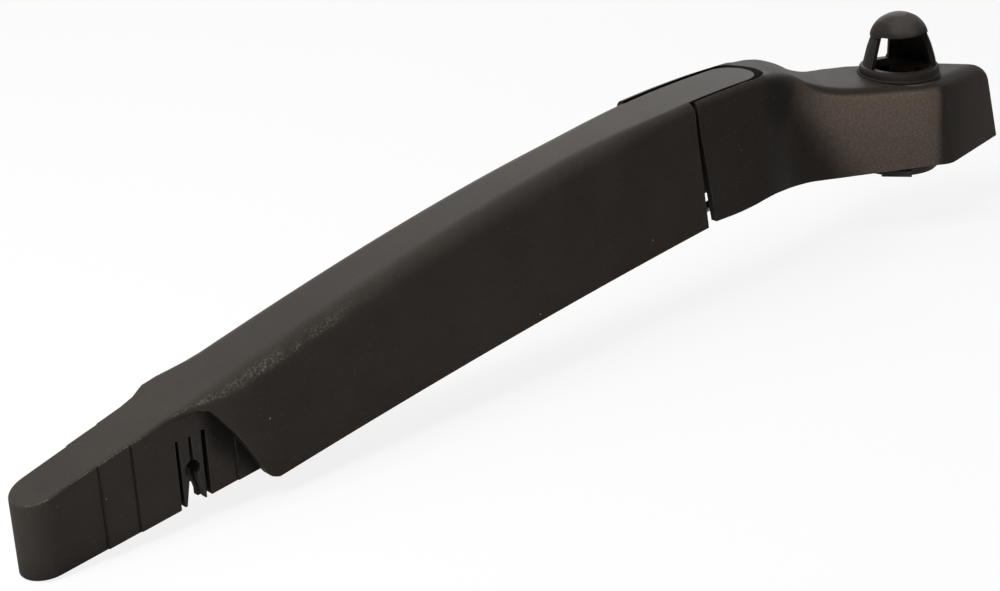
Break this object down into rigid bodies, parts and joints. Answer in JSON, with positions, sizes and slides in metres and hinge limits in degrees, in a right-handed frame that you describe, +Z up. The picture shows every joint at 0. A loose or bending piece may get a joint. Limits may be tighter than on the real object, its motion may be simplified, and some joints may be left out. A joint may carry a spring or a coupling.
{
  "type": "rear wiper arm",
  "caption": "Rear windscreen wiper arm with a hinged arm, a sprung hook inside, snap seats for the blade's pin and a clip-on spray cover over the spindle head.",
  "frame": {"origin": "centre of the spindle bore at the hub's lower face", "axes": "+Z up along the spindle axis, the arm runs from the head towards -X, +Y completes the right-handed frame"},
  "size_m": [0.3037, 0.0329, 0.06],
  "materials": {
    "arm_plastic": "fine grain",
    "head_plastic": "fine grain",
    "cover_plastic": "satin",
    "hub_metal": "cast, dark coated",
    "pin_steel": "ground",
    "bush_plastic": "satin",
    "spring_steel": "phosphate coated"
  },
  "bodies": {
    "head": {"head_housing": "head_plastic", "spray_cover": "cover_plastic", "spindle_hub": "hub_metal", "hinge_pin": "pin_steel", "hook_pin": "pin_steel"},
    "arm": {"arm_body": "arm_plastic", "near_bush": "bush_plastic", "far_bush": "bush_plastic", "anchor_pin": "pin_steel"},
    "spring_link": {"spring_hook": "spring_steel", "coil_spring": "spring_steel"}
  },
  "joints": [
    {"name": "arm_hinge", "type": "hinge", "parent": "head", "child": "arm", "pos_m": [-0.066, 0.0034, 0.033], "axis": [0, 1, 0], "range_deg": [0, 60]},
    {"name": "link_swing", "type": "hinge", "parent": "head", "child": "spring_link", "pos_m": [-0.0517, 0.0034, 0.0278], "axis": [0, 1, 0], "range_deg": [0, 50.4]}
  ],
  "couplings": [
    {"joint": "link_swing", "follows": "arm_hinge", "ratio": 0.836}
  ]
}
